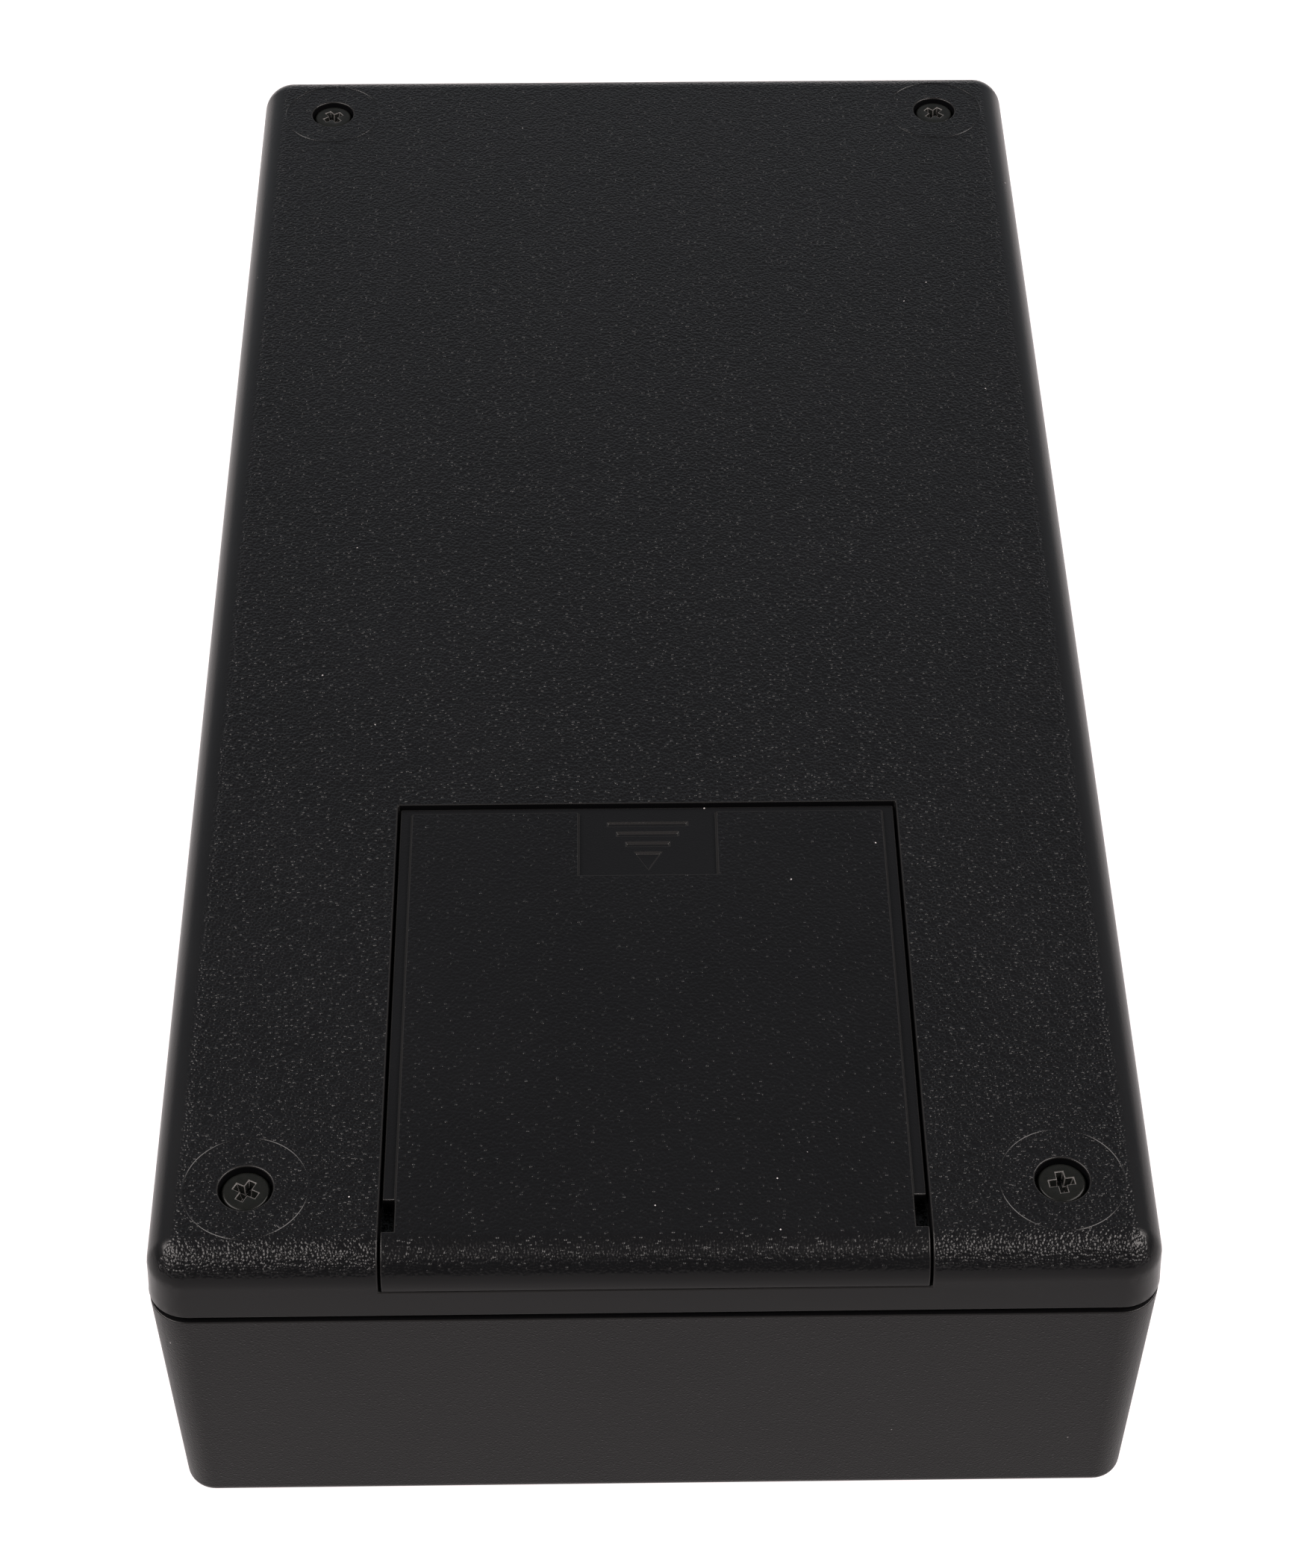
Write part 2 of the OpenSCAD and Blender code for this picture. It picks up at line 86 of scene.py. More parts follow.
def start_group(name, inputs, outputs):
    """An empty shader node group with named float inputs and float outputs."""
    group = bpy.data.node_groups.new(name, "ShaderNodeTree")
    for socket, value in inputs.items():
        made = group.interface.new_socket(socket, in_out="INPUT", socket_type="NodeSocketFloat")
        made.default_value = value
    for socket in outputs:
        group.interface.new_socket(socket, in_out="OUTPUT", socket_type="NodeSocketFloat")
    given = group.nodes.new("NodeGroupInput").outputs
    result = group.nodes.new("NodeGroupOutput").inputs
    return group, given, result


def make_spark_grain():
    """What spark erosion leaves on a moulding: packed pebbles, steep grains, a slow change of tone."""
    pebble_crown = 0.2
    pebble_edge = 0.8
    grain_reach = 0.32
    group, given, result = start_group(
        "spark_grain",
        {
            "Pebbles per metre": 2500.0,
            "Steep grains": 1.8,
            "Grains per metre": 1600.0,
            "Tone per metre": 60.0,
        },
        ["Height", "Tone"],
    )
    place = add_node(group, "ShaderNodeTexCoord").outputs["Object"]
    pebbles = add_node(
        group, "ShaderNodeTexVoronoi",
        {"Vector": place, "Scale": given["Pebbles per metre"], "Randomness": 1.0},
    )
    fall = add_node(
        group, "ShaderNodeMapRange",
        {"Value": pebbles.outputs["Distance"], "From Min": pebble_crown, "From Max": pebble_edge,
         "To Min": 0.0, "To Max": 1.0},
        interpolation_type="SMOOTHSTEP",
    )
    grains = add_node(
        group, "ShaderNodeTexVoronoi",
        {"Vector": place, "Scale": given["Grains per metre"], "Randomness": 1.0},
    )
    steep = add_node(
        group, "ShaderNodeMapRange",
        {"Value": grains.outputs["Distance"], "From Min": 0.0, "From Max": grain_reach,
         "To Min": given["Steep grains"], "To Max": 0.0},
        interpolation_type="SMOOTHSTEP",
    )
    height = add_node(
        group, "ShaderNodeMath", {0: steep.outputs["Result"], 1: fall.outputs["Result"]},
        operation="SUBTRACT",
    )
    tone = add_node(
        group, "ShaderNodeTexNoise",
        {"Vector": place, "Scale": given["Tone per metre"], "Detail": 3.0, "Roughness": 0.6},
    )
    group.links.new(height.outputs[0], result["Height"])
    group.links.new(tone.outputs["Fac"], result["Tone"])
    return group


def make_settled_dust():
    """A mask of sparse dust specks, each a small dot around a few of the scattered points."""
    group, given, result = start_group(
        "settled_dust", {"Specks per metre": 300.0, "Share": 0.10, "Speck radius": 0.03}, ["Mask"]
    )
    place = add_node(group, "ShaderNodeTexCoord").outputs["Object"]
    points = add_node(
        group, "ShaderNodeTexVoronoi", {"Vector": place, "Scale": given["Specks per metre"]}
    )
    near = add_node(
        group, "ShaderNodeMath", {0: points.outputs["Distance"], 1: given["Speck radius"]},
        operation="LESS_THAN",
    )
    chance = add_node(group, "ShaderNodeSeparateColor", {"Color": points.outputs["Color"]})
    picked = add_node(
        group, "ShaderNodeMath", {0: chance.outputs["Red"], 1: given["Share"]}, operation="LESS_THAN"
    )
    both = add_node(
        group, "ShaderNodeMath", {0: near.outputs[0], 1: picked.outputs[0]}, operation="MULTIPLY"
    )
    group.links.new(both.outputs[0], result["Mask"])
    return group


spark_grain = make_spark_grain()
settled_dust = make_settled_dust()


def start_plastic(name, roughness, colour=BLACK_PLASTIC, gloss=0.128):
    """Black moulded plastic with an uneven tone, a roughness between two limits and a little dust."""
    tone_spread = 0.15
    material = bpy.data.materials.new(name)
    material.use_nodes = True
    tree = material.node_tree
    shader = tree.nodes["Principled BSDF"]
    shader.inputs["Specular IOR Level"].default_value = gloss
    grain = add_node(tree, "ShaderNodeGroup", node_tree=spark_grain)
    dust = add_node(tree, "ShaderNodeGroup", node_tree=settled_dust)
    tint = add_node(
        tree, "ShaderNodeMapRange",
        {"Value": grain.outputs["Tone"], "To Min": 1.0 - tone_spread, "To Max": 1.0 + tone_spread},
    )
    toned = add_node(
        tree, "ShaderNodeVectorMath", {0: colour, "Scale": tint.outputs["Result"]}, operation="SCALE"
    )
    dusty = add_node(
        tree, "ShaderNodeMix", {"Factor": dust.outputs["Mask"], "A": toned.outputs["Vector"], "B": DUST},
        data_type="VECTOR",
    )
    polish = add_node(
        tree, "ShaderNodeMapRange",
        {"Value": grain.outputs["Tone"], "To Min": roughness[0], "To Max": roughness[1]},
    )
    tree.links.new(dusty.outputs["Result"], shader.inputs["Base Color"])
    tree.links.new(polish.outputs["Result"], shader.inputs["Roughness"])
    return material, grain


def raise_grain(material, height, depth):
    """Gives a plastic its relief, from a height and the depth in metres that one unit of it stands for."""
    tree = material.node_tree
    bump = add_node(tree, "ShaderNodeBump", {"Height": height, "Strength": 1.0, "Distance": depth})
    tree.links.new(bump.outputs["Normal"], tree.nodes["Principled BSDF"].inputs["Normal"])


def even_plastic(name, pebbles_per_metre, depth, roughness, **finish):
    """Black moulded plastic with the same grain all over."""
    material, grain = start_plastic(name, roughness, **finish)
    grain.inputs["Pebbles per metre"].default_value = pebbles_per_metre
    raise_grain(material, grain.outputs["Height"], depth)
    return material


# The mouldings' bevels take this paler plastic, which paints the highlights along their edges.
highlight_edge_plastic = even_plastic(
    "painted_edge_highlight_plastic", pebbles_per_metre=4200.0, depth=0.004 * MM, roughness=(0.26, 0.36),
    colour=EDGE_HIGHLIGHT_TINT,
)
shell_plastic = even_plastic(
    "silky_shell_plastic", pebbles_per_metre=5000.0, depth=0.012 * MM, roughness=(0.34, 0.42), gloss=0.098
)


def moulded_copy(node, name, edge_radius, *plastics):
    """A copy of a CAD node with its flat faces merged and its edges rounded, the rounds in a paler colour
    that paints their highlights.
    """
    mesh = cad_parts[node].data.copy()
    mesh.materials.clear()
    for plastic in (*plastics, highlight_edge_plastic):
        mesh.materials.append(plastic)
    shape = bmesh.new()
    shape.from_mesh(mesh)
    bmesh.ops.remove_doubles(shape, verts=shape.verts, dist=WELD)
    bmesh.ops.dissolve_limit(shape, angle_limit=FLAT_ANGLE, verts=shape.verts, edges=shape.edges)
    shape.to_mesh(mesh)
    shape.free()
    mesh.name = name
    mesh.shade_smooth()
    piece = bpy.data.objects.new(name, mesh)
    bpy.context.scene.collection.objects.link(piece)
    bevel = piece.modifiers.new("rounded_edges", "BEVEL")
    bevel.width = edge_radius
    bevel.segments = 2
    bevel.limit_method = "ANGLE"
    bevel.angle_limit = SHARP_ANGLE
    bevel.use_clamp_overlap = False
    # The bevel faces take the paler plastic: a painted highlight along every rounded edge.
    bevel.material = len(plastics)
    weights = piece.modifiers.new("flat_faces_lead", "WEIGHTED_NORMAL")
    weights.keep_sharp = True
    return piece


def seat(piece, body, slot, *nodes):
    """Lets a piece ride on its body in place of the CAD nodes it stands for."""
    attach(piece, body)
    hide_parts(*nodes)


shell = moulded_copy("body_shell", "lower_shell", shell_edge_r, shell_plastic)
seat(shell, "housing", "shell_plastic", "body_shell")

# Back cover
# The shallow upper half is moulded in one piece with the battery bay and the screw towers.
# Its face has the coarser grain of the mould's spark-eroded half, which fades out above the walls.

cover_edge_r = 0.18 * MM
face_z = cad_box[1][2]
grain_low_z = face_z - 5.4 * MM


def grained_plastic(name, depth, roughness):
    """Black plastic with coarse pebbles on its upper face, ending on the side edges and above the walls."""
    steep_grains = 1.75
    faded = 0.04
    fade_h = 0.4 * MM
    far_edge_share = 0.6
    material, grain = start_plastic(name, roughness)
    grain.inputs["Steep grains"].default_value = steep_grains
    tree = material.node_tree

    def share(value, start, end, before, after):
        """How much of the relief stays, changing as a value goes from start to end."""
        return add_node(
            tree, "ShaderNodeMapRange",
            {"Value": value, "From Min": start, "From Max": end, "To Min": before, "To Max": after},
        )

    # The grain ends sooner on the side edges than on the far edge, and it runs over the near edge.
    facing = add_node(
        tree, "ShaderNodeSeparateXYZ", {"Vector": add_node(tree, "ShaderNodeNewGeometry").outputs["Normal"]}
    )
    sideways = add_node(tree, "ShaderNodeMath", {0: facing.outputs["X"]}, operation="ABSOLUTE")
    turned = add_node(
        tree, "ShaderNodeMath",
        {0: facing.outputs["Y"], 1: far_edge_share, 2: sideways.outputs[0]},
        operation="MULTIPLY_ADD",
    )
    place = add_node(
        tree, "ShaderNodeSeparateXYZ", {"Vector": add_node(tree, "ShaderNodeTexCoord").outputs["Object"]}
    )
    upward = share(facing.outputs["Z"], start=0.36, end=0.54, before=faded, after=1.0)
    inward = share(turned.outputs[0], start=0.16, end=0.32, before=1.0, after=faded)
    outside = share(place.outputs["Z"], grain_low_z, grain_low_z + fade_h, before=faded, after=1.0)
    height = grain.outputs["Height"]
    for mask in (upward, inward, outside):
        masked = add_node(
            tree, "ShaderNodeMath", {0: height, 1: mask.outputs["Result"]}, operation="MULTIPLY"
        )
        height = masked.outputs[0]
    raise_grain(material, height, depth)
    return material


cover_plastic = grained_plastic("grained_cover_plastic", depth=0.060 * MM, roughness=(0.24, 0.31))
cover = moulded_copy("back_cover", "cover_moulding", cover_edge_r, cover_plastic)
seat(cover, "housing", "shell_plastic", "back_cover")

# Battery contacts
# Five plates of nickel-plated sheet steel stand in slots at the bay's ends and join the cells in a row.
# They were stamped from strip, so a faint brushing runs across them.

NICKEL_DULL = (0.56, 0.55, 0.52)
NICKEL_BRIGHT = (0.72, 0.70, 0.66)


def make_nickel(name, roughness):
    """Nickel plating: a warm grey metal with faint brushing and a patchy sheen."""
    brushing = (60.0, 60.0, 4000.0)
    smoother = 0.06
    rougher = 0.10
    stroke_depth = 0.004 * MM
    material = bpy.data.materials.new(name)
    material.use_nodes = True
    tree = material.node_tree
    shader = tree.nodes["Principled BSDF"]
    shader.inputs["Metallic"].default_value = 1.0
    place = add_node(tree, "ShaderNodeTexCoord").outputs["Object"]
    stretched = add_node(tree, "ShaderNodeMapping", {"Vector": place, "Scale": brushing})
    strokes = add_node(tree, "ShaderNodeTexNoise", {"Vector": stretched.outputs["Vector"], "Scale": 1.0})
    patches = add_node(tree, "ShaderNodeTexNoise", {"Vector": place, "Scale": 300.0, "Detail": 3.0})
    colour = add_node(
        tree, "ShaderNodeMix",
        {"Factor": patches.outputs["Fac"], "A": NICKEL_DULL, "B": NICKEL_BRIGHT},
        data_type="VECTOR",
    )
    polish = add_node(
        tree, "ShaderNodeMapRange",
        {"Value": strokes.outputs["Fac"], "To Min": roughness - smoother, "To Max": roughness + rougher},
    )
    bump = add_node(
        tree, "ShaderNodeBump", {"Height": strokes.outputs["Fac"], "Distance": stroke_depth}
    )
    tree.links.new(colour.outputs["Result"], shader.inputs["Base Color"])
    tree.links.new(polish.outputs["Result"], shader.inputs["Roughness"])
    tree.links.new(bump.outputs["Normal"], shader.inputs["Normal"])
    return material


plate_nickel = make_nickel("stamped_nickel", roughness=0.28)
for plate in ("positive_terminal", "negative_terminal", "rear_link", "front_link_left", "front_link_right"):
    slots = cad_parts[plate].data.materials
    slots.clear()
    slots.append(plate_nickel)

# Contact springs
# Four conical coils of plated spring wire press on the cells' negative ends.
# Each was wound to narrow towards its cell, and its widest turn stands on a contact plate.

wire_d = 0.8 * MM
spring_base_d = 9.6 * MM
spring_tip_d = 5.6 * MM
spring_turns = 4.5
cell_axis_z = 31.95 * MM


def make_spring_tree(material):
    """A narrowing coil of wire on every point, leaning as the point's own angle says."""
    steps_per_turn = 32
    wire_sides = 12
    tree = bpy.data.node_groups.new("contact_coils", "GeometryNodeTree")
    tree.interface.new_socket("Geometry", in_out="INPUT", socket_type="NodeSocketGeometry")
    for name in ("Base radius", "Tip radius", "Rise", "Turns", "Wire radius"):
        tree.interface.new_socket(name, in_out="INPUT", socket_type="NodeSocketFloat")
    tree.interface.new_socket("Geometry", in_out="OUTPUT", socket_type="NodeSocketGeometry")
    given = tree.nodes.new("NodeGroupInput").outputs
    coil = add_node(
        tree, "GeometryNodeCurveSpiral",
        {"Resolution": steps_per_turn, "Rotations": given["Turns"], "Start Radius": given["Base radius"],
         "End Radius": given["Tip radius"], "Height": given["Rise"]},
    )
    section = add_node(
        tree, "GeometryNodeCurvePrimitiveCircle",
        {"Resolution": wire_sides, "Radius": given["Wire radius"]},
    )
    wire = add_node(
        tree, "GeometryNodeCurveToMesh",
        {"Curve": coil.outputs["Curve"], "Profile Curve": section.outputs["Curve"], "Fill Caps": True},
    )
    lean = add_node(tree, "GeometryNodeInputNamedAttribute", {"Name": "lean"}, data_type="FLOAT")
    turned = add_node(tree, "ShaderNodeCombineXYZ", {"X": lean.outputs["Attribute"]})
    coils = add_node(
        tree, "GeometryNodeInstanceOnPoints",
        {"Points": given["Geometry"], "Instance": wire.outputs["Mesh"],
         "Rotation": turned.outputs["Vector"]},
    )
    real = add_node(tree, "GeometryNodeRealizeInstances", {"Geometry": coils.outputs["Instances"]})
    smooth = add_node(tree, "GeometryNodeSetShadeSmooth", {"Geometry": real.outputs["Geometry"]})
    finished = add_node(
        tree, "GeometryNodeSetMaterial", {"Geometry": smooth.outputs["Geometry"], "Material": material}
    )
    result = tree.nodes.new("NodeGroupOutput")
    tree.links.new(finished.outputs["Geometry"], result.inputs["Geometry"])
    return tree


def points_object(name, points, attribute, values):
    """A mesh of loose points, each with one number of its own."""
    mesh = bpy.data.meshes.new(name)
    mesh.from_pydata(points, [], [])
    mesh.attributes.new(attribute, "FLOAT", "POINT").data.foreach_set("value", values)
    made = bpy.data.objects.new(name, mesh)
    bpy.context.scene.collection.objects.link(made)
    return made


def keep_result(piece):
    """Replaces a piece's mesh by what its modifiers make of it."""
    bpy.context.view_layer.update()
    evaluated = piece.evaluated_get(bpy.context.evaluated_depsgraph_get())
    mesh = bpy.data.meshes.new_from_object(evaluated)
    piece.modifiers.clear()
    piece.data = mesh


def grow(piece, tree, values):
    """Runs a geometry tree on a piece and keeps the result as its plain mesh."""
    modifier = piece.modifiers.new(tree.name, "NODES")
    modifier.node_group = tree
    for item in tree.interface.items_tree:
        if item.in_out == "INPUT" and item.name in values:
            modifier[item.identifier] = values[item.name]
    keep_result(piece)


spring_places = []
spring_leans = []
base_at_front = {"spring_1": True, "spring_2": False, "spring_3": True, "spring_4": False}
for spring, at_front in base_at_front.items():
    low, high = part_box(spring)
    base_y = low.y + wire_d / 2 if at_front else high.y - wire_d / 2
    spring_places.append(((low.x + high.x) / 2, base_y, cell_axis_z))
    spring_leans.append(-math.pi / 2 if at_front else math.pi / 2)
first_low, first_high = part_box("spring_1")

springs = points_object("contact_springs", spring_places, "lean", spring_leans)
spring_tree = make_spring_tree(make_nickel("spring_nickel", roughness=0.22))
grow(springs, spring_tree, {
    "Base radius": (spring_base_d - wire_d) / 2,
    "Tip radius": (spring_tip_d - wire_d) / 2,
    "Rise": first_high.y - first_low.y - wire_d,
    "Turns": spring_turns,
    "Wire radius": wire_d / 2,
})
seat(springs, "housing", "spring_wire", "spring_1", "spring_2", "spring_3", "spring_4")

# Cover screws
# Four self-tapping pan-head screws with cross recesses, finished black, sunk in the cover's corners.
# Each was left at its own angle when it was tightened.

screw_low, screw_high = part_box("cover_screws")
screw_inset = 10.8 * MM
screw_turns = [math.radians(angle) for angle in (62, 8, 35, 50)]
head_r = 2.7 * MM
head_h = 2.2 * MM
head_foot_r = 0.12 * MM
shoulder_r = 0.45 * MM
shank_r = 1.2 * MM
tip_r = 0.35 * shank_r
tip_h = 0.3 * MM
point_h = 2.4 * MM
cross_depth = 1.3 * MM
cross_over = 0.3 * MM
cross_floor_half_l = 1.10 * MM
cross_floor_half_w = 0.32 * MM
cross_mouth_half_l = 1.47 * MM
cross_mouth_half_w = 0.46 * MM
glint_edge_w = 0.11 * MM
seat_z = screw_high.z - head_h
SPIN_WELD = 0.002 * MM
SCREW_BLACK = (0.002, 0.0024, 0.0022)
SCREW_BLACK_PALE = (0.004, 0.004, 0.0036)
# Paler steel for the heads' rounded edges: a painted glint on the recess and rim edges, not wear.
SCREW_EDGE_GLINT = (0.020, 0.0193, 0.0186)
SCREW_EDGE_GLINT_PALE = (0.062, 0.059, 0.057)


def make_screw_finish(name, dark, light):
    """Black-finished steel between a darker and a lighter tone, with a patchy sheen."""
    gloss = 0.08
    roughness = (0.20, 0.34)
    patch_depth = 0.004 * MM
    material = bpy.data.materials.new(name)
    material.use_nodes = True
    tree = material.node_tree
    shader = tree.nodes["Principled BSDF"]
    shader.inputs["Specular IOR Level"].default_value = gloss
    place = add_node(tree, "ShaderNodeTexCoord").outputs["Object"]
    patches = add_node(tree, "ShaderNodeTexNoise", {"Vector": place, "Scale": 1400.0, "Detail": 4.0})
    colour = add_node(
        tree, "ShaderNodeMix",
        {"Factor": patches.outputs["Fac"], "A": dark, "B": light},
        data_type="VECTOR",
    )
    polish = add_node(
        tree, "ShaderNodeMapRange",
        {"Value": patches.outputs["Fac"], "To Min": roughness[0], "To Max": roughness[1]},
    )
    bump = add_node(tree, "ShaderNodeBump", {"Height": patches.outputs["Fac"], "Distance": patch_depth})
    tree.links.new(colour.outputs["Result"], shader.inputs["Base Color"])
    tree.links.new(polish.outputs["Result"], shader.inputs["Roughness"])
    tree.links.new(bump.outputs["Normal"], shader.inputs["Normal"])
    return material


def mesh_object(name, shape):
    """Turns a bmesh into an object in the scene."""
    mesh = bpy.data.meshes.new(name)
    shape.to_mesh(mesh)
    shape.free()
    made = bpy.data.objects.new(name, mesh)
    bpy.context.scene.collection.objects.link(made)
    return made


def make_screw_blank():
    """One screw about the Z axis with its seat at z = 0, its head still plain."""
    shoulder_steps = 6
    turn_steps = 48
    tip_z = screw_low.z - seat_z
    flat_r = head_r - shoulder_r
    outline = [(0, tip_z), (tip_r, tip_z + tip_h), (shank_r, tip_z + point_h), (shank_r, 0)]
    outline += [(head_r - head_foot_r, 0), (head_r, head_foot_r)]
    for i in range(shoulder_steps + 1):
        turn = math.pi / 2 * i / shoulder_steps
        rise = shoulder_r * (math.sin(turn) - 1)
        outline.append((flat_r + shoulder_r * math.cos(turn), head_h + rise))
    outline.append((0, head_h))
    shape = bmesh.new()
    rim = [shape.verts.new((r, 0, z)) for r, z in outline]
    edges = [shape.edges.new(pair) for pair in zip(rim, rim[1:])]
    bmesh.ops.spin(
        shape, geom=rim + edges, cent=(0, 0, 0), axis=(0, 0, 1), angle=math.tau, steps=turn_steps,
        use_merge=True,
    )
    bmesh.ops.remove_doubles(shape, verts=shape.verts, dist=SPIN_WELD)
    bmesh.ops.dissolve_limit(shape, angle_limit=FLAT_ANGLE, verts=shape.verts, edges=shape.edges)
    bmesh.ops.recalc_face_normals(shape, faces=shape.faces)
    return mesh_object("screw_pattern", shape)


def make_cross_cutter():
    """Two crossed blocks that narrow downwards, the form that the punch leaves in a screw's head."""
    floor = (head_h - cross_depth, cross_floor_half_l, cross_floor_half_w)
    mouth = (head_h + cross_over, cross_mouth_half_l, cross_mouth_half_w)
    recess = bmesh.new()
    for turn in (0, math.pi / 2):
        corners = []
        for z, half_l, half_w in (floor, mouth):
            for x, y in ((-half_l, -half_w), (half_l, -half_w), (half_l, half_w), (-half_l, half_w)):
                corners.append(recess.verts.new(Matrix.Rotation(turn, 3, "Z") @ Vector((x, y, z))))
        recess.faces.new(corners[3::-1])
        recess.faces.new(corners[4:])
        for i in range(4):
            j = (i + 1) % 4
            recess.faces.new((corners[i], corners[j], corners[4 + j], corners[4 + i]))
    bmesh.ops.recalc_face_normals(recess, faces=recess.faces)
    return mesh_object("recess_cutter", recess)


def make_screw_pattern(finish, glint_edge_finish):
    """A screw with the cross recess cut into its head and its sharp edges rounded in a paler finish that
    paints their glints.
    """
    crisp_angle = math.radians(35)
    screw = make_screw_blank()
    cutter = make_cross_cutter()
    screw.data.materials.append(finish)
    screw.data.materials.append(glint_edge_finish)
    cut = screw.modifiers.new("cross_recess", "BOOLEAN")
    cut.object = cutter
    cut.solver = "EXACT"
    cut.use_self = True
    # The bevel faces take the paler finish, a painted glint along the recess and rim edges.
    bevel = screw.modifiers.new("painted_glint_edges", "BEVEL")
    bevel.width = glint_edge_w
    bevel.material = 1
    bevel.segments = 2
    bevel.limit_method = "ANGLE"
    bevel.angle_limit = SHARP_ANGLE
    keep_result(screw)
    bpy.data.objects.remove(cutter)
    screw.data.shade_smooth()
    screw.data.set_sharp_from_angle(angle=crisp_angle)
    return screw


def make_placing_tree(name, pattern, material):
    """A pattern on every point, turned by the point's own angle, with its second finish kept."""
    tree = bpy.data.node_groups.new(name, "GeometryNodeTree")
    tree.interface.new_socket("Geometry", in_out="INPUT", socket_type="NodeSocketGeometry")
    tree.interface.new_socket("Geometry", in_out="OUTPUT", socket_type="NodeSocketGeometry")
    given = tree.nodes.new("NodeGroupInput").outputs
    model = add_node(tree, "GeometryNodeObjectInfo", {"Object": pattern})
    turn = add_node(tree, "GeometryNodeInputNamedAttribute", {"Name": "turn"}, data_type="FLOAT")
    turned = add_node(tree, "ShaderNodeCombineXYZ", {"Z": turn.outputs["Attribute"]})
    placed = add_node(
        tree, "GeometryNodeInstanceOnPoints",
        {"Points": given["Geometry"], "Instance": model.outputs["Geometry"],
         "Rotation": turned.outputs["Vector"]},
    )
    real = add_node(tree, "GeometryNodeRealizeInstances", {"Geometry": placed.outputs["Instances"]})
    plain = add_node(tree, "GeometryNodeMaterialSelection", {"Material": material})
    finished = add_node(
        tree, "GeometryNodeSetMaterial",
        {"Geometry": real.outputs["Geometry"], "Selection": plain.outputs["Selection"],
         "Material": material},
    )
    result = tree.nodes.new("NodeGroupOutput")
    tree.links.new(finished.outputs["Geometry"], result.inputs["Geometry"])
    return tree


screw_x = cad_box[1][0] - screw_inset
screw_y = cad_box[1][1] - screw_inset
screw_places = [(x * screw_x, y * screw_y, seat_z) for y in (-1, 1) for x in (-1, 1)]
screws = points_object("corner_screws", screw_places, "turn", screw_turns)
screw_finish = make_screw_finish("black_screw_finish", SCREW_BLACK, SCREW_BLACK_PALE)
glint_edge_finish = make_screw_finish("painted_glint_screw_finish", SCREW_EDGE_GLINT, SCREW_EDGE_GLINT_PALE)
pattern = make_screw_pattern(screw_finish, glint_edge_finish)
grow(screws, make_placing_tree("corner_screws", pattern, screw_finish), {})
bpy.data.objects.remove(pattern)
seat(screws, "housing", "black_screw", "cover_screws")

# Insert rings
# A round insert in the mould forms each screw's recess, and its joint leaves a raised hairline ring.
# The ring is part of the cover's moulding, so it has the cover's plastic, but not its grain.

ring_d = 13.7 * MM
ring_h = 0.045 * MM
ring_sunk = 0.06 * MM
ring_slope = 0.72


def make_ring_pattern():
    """One ring about the Z axis: a ridge with straight flanks that start below the face."""
    turn_steps = 128
    half_w = (ring_h + ring_sunk) / ring_slope
    outline = [(ring_d / 2 - half_w, -ring_sunk), (ring_d / 2, ring_h), (ring_d / 2 + half_w, -ring_sunk)]
    shape = bmesh.new()
    corners = [shape.verts.new((r, 0, z)) for r, z in outline]
    edges = [shape.edges.new((corners[i], corners[(i + 1) % 3])) for i in range(3)]
    bmesh.ops.spin(
        shape, geom=corners + edges, cent=(0, 0, 0), axis=(0, 0, 1), angle=math.tau, steps=turn_steps,
        use_merge=True,
    )
    bmesh.ops.remove_doubles(shape, verts=shape.verts, dist=SPIN_WELD)
    bmesh.ops.recalc_face_normals(shape, faces=shape.faces)
    return mesh_object("ring_pattern", shape)


ring_places = [(x, y, face_z) for x, y, z in screw_places]
rings = points_object("insert_rings", ring_places, "turn", screw_turns)
pattern = make_ring_pattern()
ring_plastic = even_plastic(
    "ring_line_plastic", pebbles_per_metre=4200.0, depth=0.004 * MM, roughness=(0.24, 0.30)
)
pattern.data.materials.append(ring_plastic)
grow(rings, make_placing_tree("insert_rings", pattern, ring_plastic), {})
bpy.data.objects.remove(pattern)
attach(rings, "housing")

# Battery door
# One moulding that slides under the cover's rails. Its raised panel and front lip are grained,
# while the bands along its edges, the finger pad and the inside were left smooth in the mould.

door_edge_r = 0.15 * MM
panel_h = 0.5 * MM
panel_margin = 0.2 * MM
lip_l = 4.75 * MM
facing_margin = 0.1

door_plastic = grained_plastic("grained_door_plastic", depth=0.034 * MM, roughness=(0.25, 0.32))
smooth_plastic = even_plastic(
    "smooth_door_plastic", pebbles_per_metre=4200.0, depth=0.008 * MM, roughness=(0.28, 0.34), gloss=0.13
)
door = moulded_copy("battery_door", "sliding_door", door_edge_r, door_plastic, smooth_plastic)
door_low, door_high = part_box("battery_door")
band_z = door_high.z - panel_h
lip_y = door_low.y + lip_l
for face in door.data.polygons:
    on_panel = face.center.z > band_z + panel_margin
    outward = face.normal.y < facing_margin and face.normal.z > -facing_margin
    on_lip = face.center.y < lip_y and outward
    face.material_index = 0 if on_panel or on_lip else 1
seat(door, "door", "door_plastic", "battery_door")

# Studio
# The stage is a plain white table, lit through, between two long softboxes in a dim room.
# The camera stands before the enclosure's near end and looks down on it.

TABLE_GREY = (0.08, 0.08, 0.08, 1)
TABLE_GLOW = (1.0, 0.93, 0.93, 1)
SOFTBOX_LIGHT = (1.0, 0.93, 0.90)
ROOM_LIGHT = (0.91, 0.95, 1.0, 1)
table_reach = 4.0
table_z = -0.02 * MM
table_glow = 1.04
softbox_l = 1.24
softbox_w = 0.50
softbox_power = 43.0
softbox_x = 0.80
softbox_y = -0.26
softbox_z = 0.86
softbox_aim = Vector((0, -0.05, 0.03))
room_strength = 0.18
sheet_strength = 0.63
camera_place = Vector((-4.31, -335.46, 350.40)) * MM
camera_aim = Vector((1.255, -24.78, 30.2)) * MM
camera_roll = math.radians(0.197)


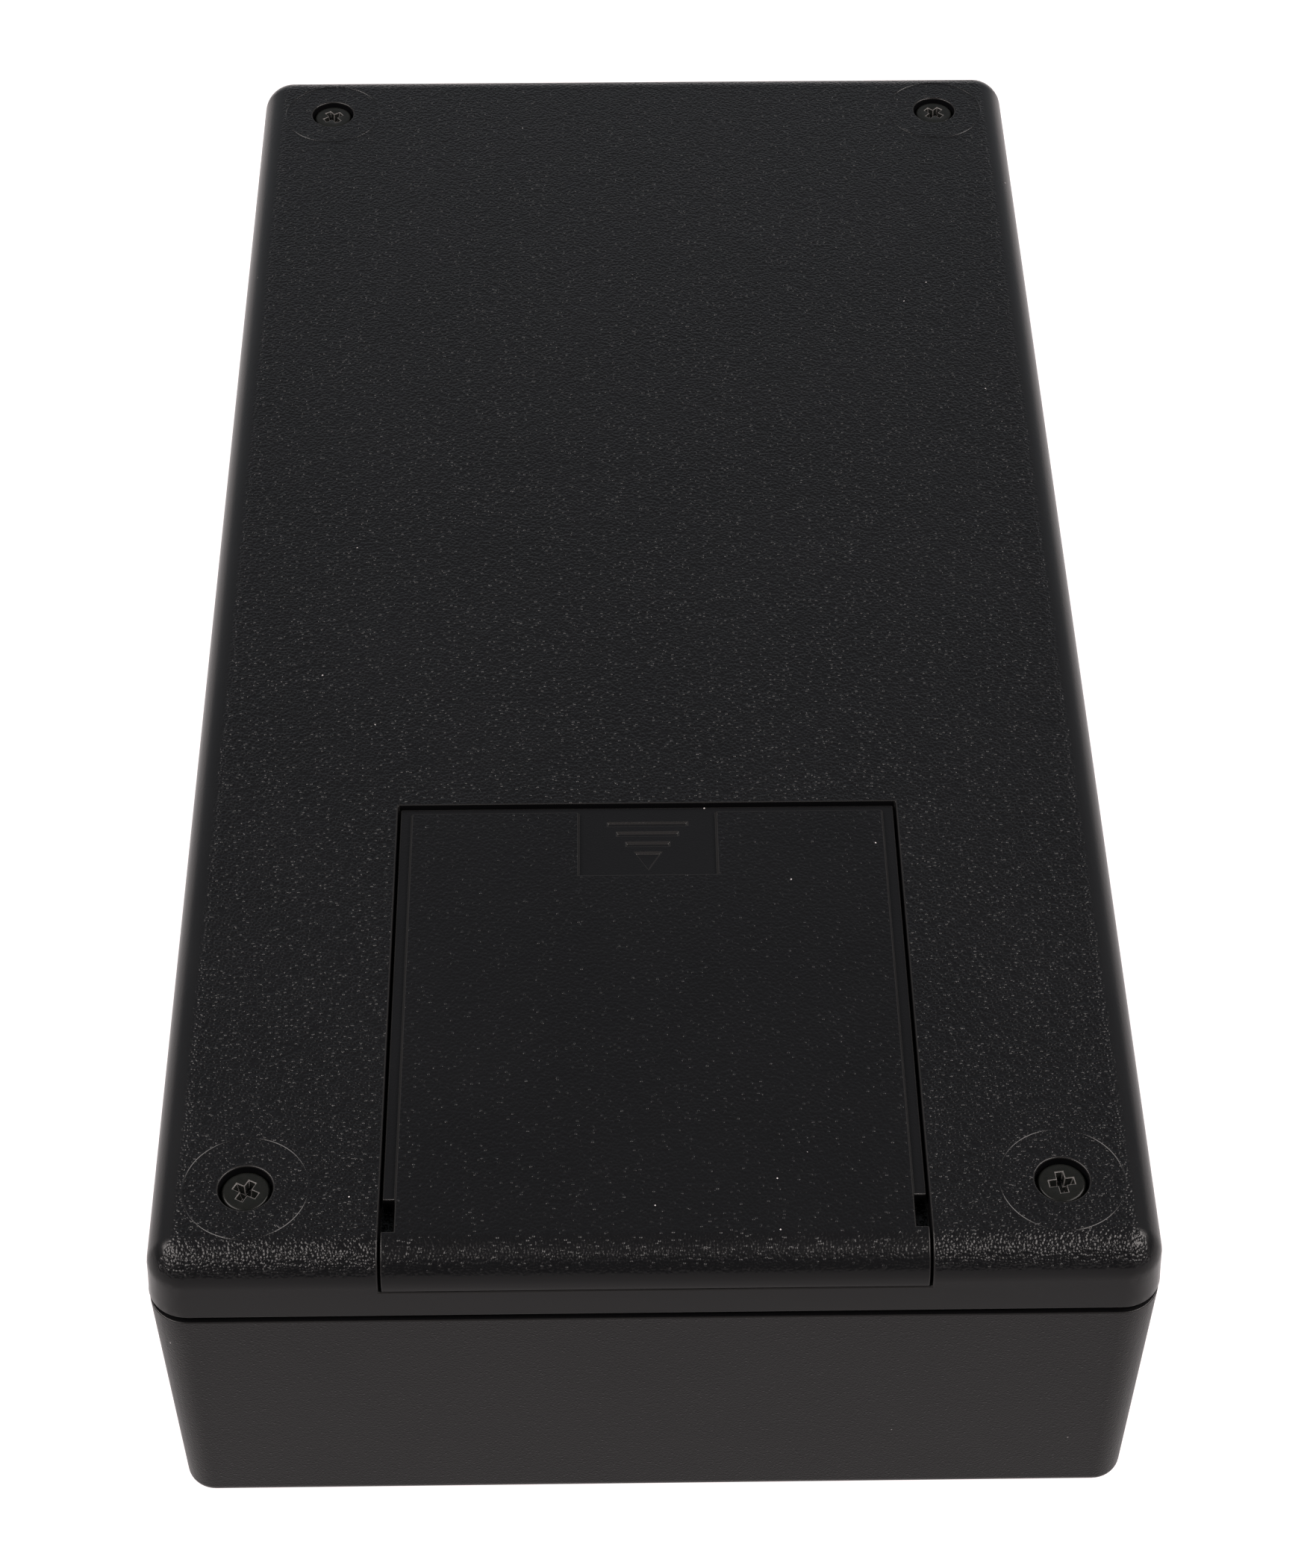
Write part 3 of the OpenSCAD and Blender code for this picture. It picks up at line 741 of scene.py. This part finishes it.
def make_floor():
    """A wide white table top just under the object, lit through from below."""
    outline = (
        (-table_reach, -table_reach), (table_reach, -table_reach),
        (table_reach, table_reach), (-table_reach, table_reach),
    )
    shape = bmesh.new()
    shape.faces.new([shape.verts.new((x, y, table_z)) for x, y in outline])
    floor = mesh_object("table_top", shape)
    material = bpy.data.materials.new("white_table")
    material.use_nodes = True
    shader = material.node_tree.nodes["Principled BSDF"]
    shader.inputs["Base Color"].default_value = TABLE_GREY
    shader.inputs["Emission Color"].default_value = TABLE_GLOW
    shader.inputs["Emission Strength"].default_value = table_glow
    shader.inputs["Roughness"].default_value = 0.9
    shader.inputs["Specular IOR Level"].default_value = 0.0
    floor.data.materials.append(material)


def add_softbox(name, place):
    """A long soft light at a place, turned towards the object."""
    light = bpy.data.lights.new(name, "AREA")
    light.shape = "RECTANGLE"
    light.size = softbox_l
    light.size_y = softbox_w
    light.energy = softbox_power
    light.color = SOFTBOX_LIGHT
    made = bpy.data.objects.new(name, light)
    made.location = place
    made.rotation_euler = (softbox_aim - place).to_track_quat("-Z", "Y").to_euler()
    bpy.context.scene.collection.objects.link(made)


def make_room():
    """A dim cool room that is paler behind the table, where a white sheet hangs."""
    world = bpy.data.worlds.new("dim_room")
    world.use_nodes = True
    tree = world.node_tree
    direction = add_node(
        tree, "ShaderNodeSeparateXYZ", {"Vector": add_node(tree, "ShaderNodeTexCoord").outputs["Generated"]}
    )
    strength = add_node(
        tree, "ShaderNodeMapRange",
        {"Value": direction.outputs["Y"], "From Min": 0.1, "From Max": 0.95,
         "To Min": room_strength, "To Max": sheet_strength},
        interpolation_type="SMOOTHSTEP",
    )
    background = tree.nodes["Background"]
    background.inputs["Color"].default_value = ROOM_LIGHT
    tree.links.new(strength.outputs["Result"], background.inputs["Strength"])
    bpy.context.scene.world = world


def add_camera():
    """The camera at the photograph's viewing angle."""
    camera = bpy.data.cameras.new("photo_camera")
    camera.lens = 81.318
    camera.sensor_width = 36.0
    viewer = bpy.data.objects.new("photo_camera", camera)
    look = (camera_aim - camera_place).to_track_quat("-Z", "Y")
    viewer.location = camera_place
    viewer.rotation_mode = "QUATERNION"
    viewer.rotation_quaternion = look @ Quaternion((0, 0, 1), camera_roll)
    bpy.context.scene.collection.objects.link(viewer)
    bpy.context.scene.camera = viewer


make_floor()
for name, side in (("left_softbox", -1), ("right_softbox", 1)):
    add_softbox(name, Vector((side * softbox_x, softbox_y, softbox_z)))
make_room()
bpy.context.scene.view_settings.view_transform = "Standard"
add_camera()
